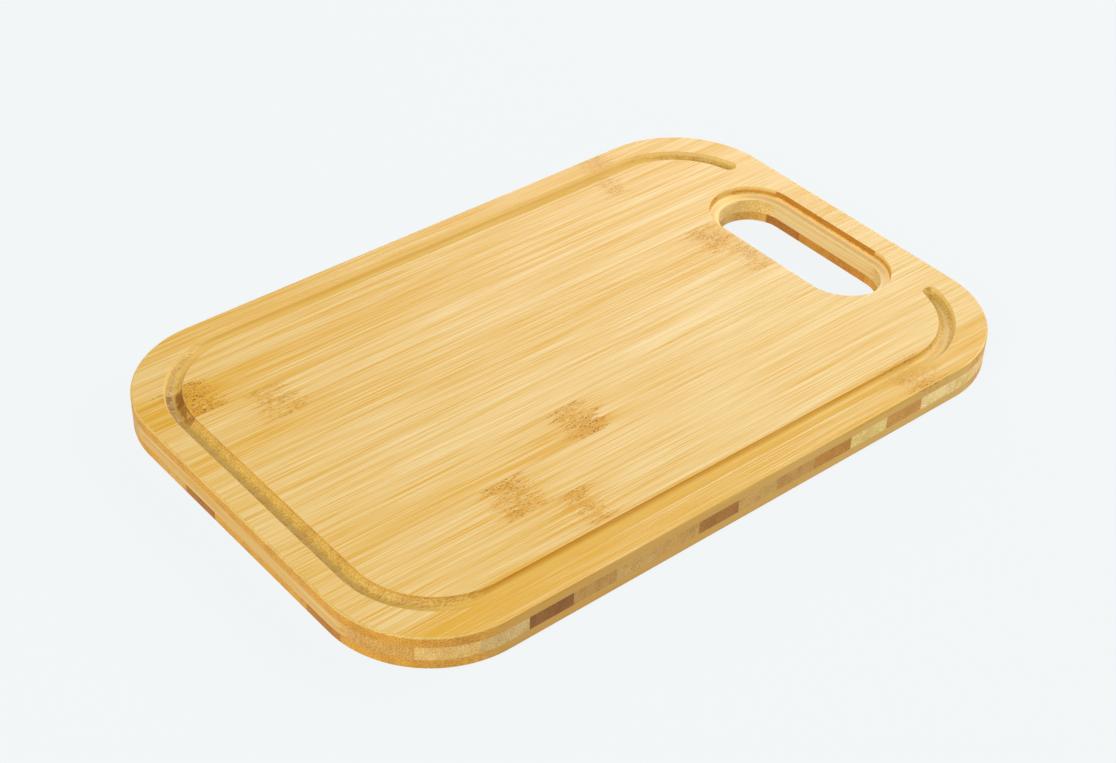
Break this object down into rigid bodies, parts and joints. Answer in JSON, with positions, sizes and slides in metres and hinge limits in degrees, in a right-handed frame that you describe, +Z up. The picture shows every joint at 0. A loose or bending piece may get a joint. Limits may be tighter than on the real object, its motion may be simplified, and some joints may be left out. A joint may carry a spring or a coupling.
{
  "type": "cutting board",
  "caption": "Flat rectangular bamboo cutting board with round corners, a juice groove along three sides and a hand slot at one end.",
  "frame": {"origin": "centre of the underside", "axes": "+Y along the board towards the hand slot, +X across it, +Z up out of the working face"},
  "size_m": [0.21, 0.32, 0.015],
  "materials": {
    "bamboo_pale": "satin, lightly oiled, the palest strips",
    "bamboo_straw": "satin, lightly oiled",
    "bamboo_golden": "satin, lightly oiled, the commonest shade",
    "bamboo_honey": "satin, lightly oiled, darker strips",
    "bamboo_brown": "satin, lightly oiled, the darkest strips in the core"
  },
  "bodies": {
    "root": {"bottom_strip_01": "bamboo_golden", "bottom_strip_02": "bamboo_straw", "bottom_strip_03": "bamboo_golden", "bottom_strip_04": "bamboo_straw", "bottom_strip_05": "bamboo_honey", "bottom_strip_05_end": "bamboo_honey", "bottom_strip_06": "bamboo_golden", "bottom_strip_06_end": "bamboo_golden", "bottom_strip_07": "bamboo_golden", "bottom_strip_07_end": "bamboo_golden", "bottom_strip_08": "bamboo_golden", "bottom_strip_09": "bamboo_honey", "bottom_strip_10": "bamboo_golden", "bottom_strip_11": "bamboo_straw", "core_strip_01": "bamboo_golden", "core_strip_02": "bamboo_straw", "core_strip_03": "bamboo_pale", "core_strip_04": "bamboo_brown", "core_strip_05": "bamboo_honey", "core_strip_06": "bamboo_golden", "core_strip_07": "bamboo_golden", "core_strip_08": "bamboo_brown", "core_strip_09": "bamboo_golden", "core_strip_10": "bamboo_honey", "core_strip_11": "bamboo_honey", "core_strip_12": "bamboo_pale", "core_strip_13": "bamboo_golden", "core_strip_14": "bamboo_pale", "core_strip_15_left": "bamboo_straw", "core_strip_15_right": "bamboo_straw", "core_strip_16": "bamboo_golden", "core_strip_17": "bamboo_straw", "top_strip_01": "bamboo_straw", "top_strip_02": "bamboo_golden", "top_strip_03": "bamboo_honey", "top_strip_04": "bamboo_straw", "top_strip_05": "bamboo_golden", "top_strip_05_end": "bamboo_golden", "top_strip_06": "bamboo_pale", "top_strip_06_end": "bamboo_pale", "top_strip_07": "bamboo_straw", "top_strip_07_end": "bamboo_straw", "top_strip_08": "bamboo_golden", "top_strip_09": "bamboo_golden", "top_strip_10": "bamboo_straw", "top_strip_11": "bamboo_golden"}
  },
  "joints": []
}
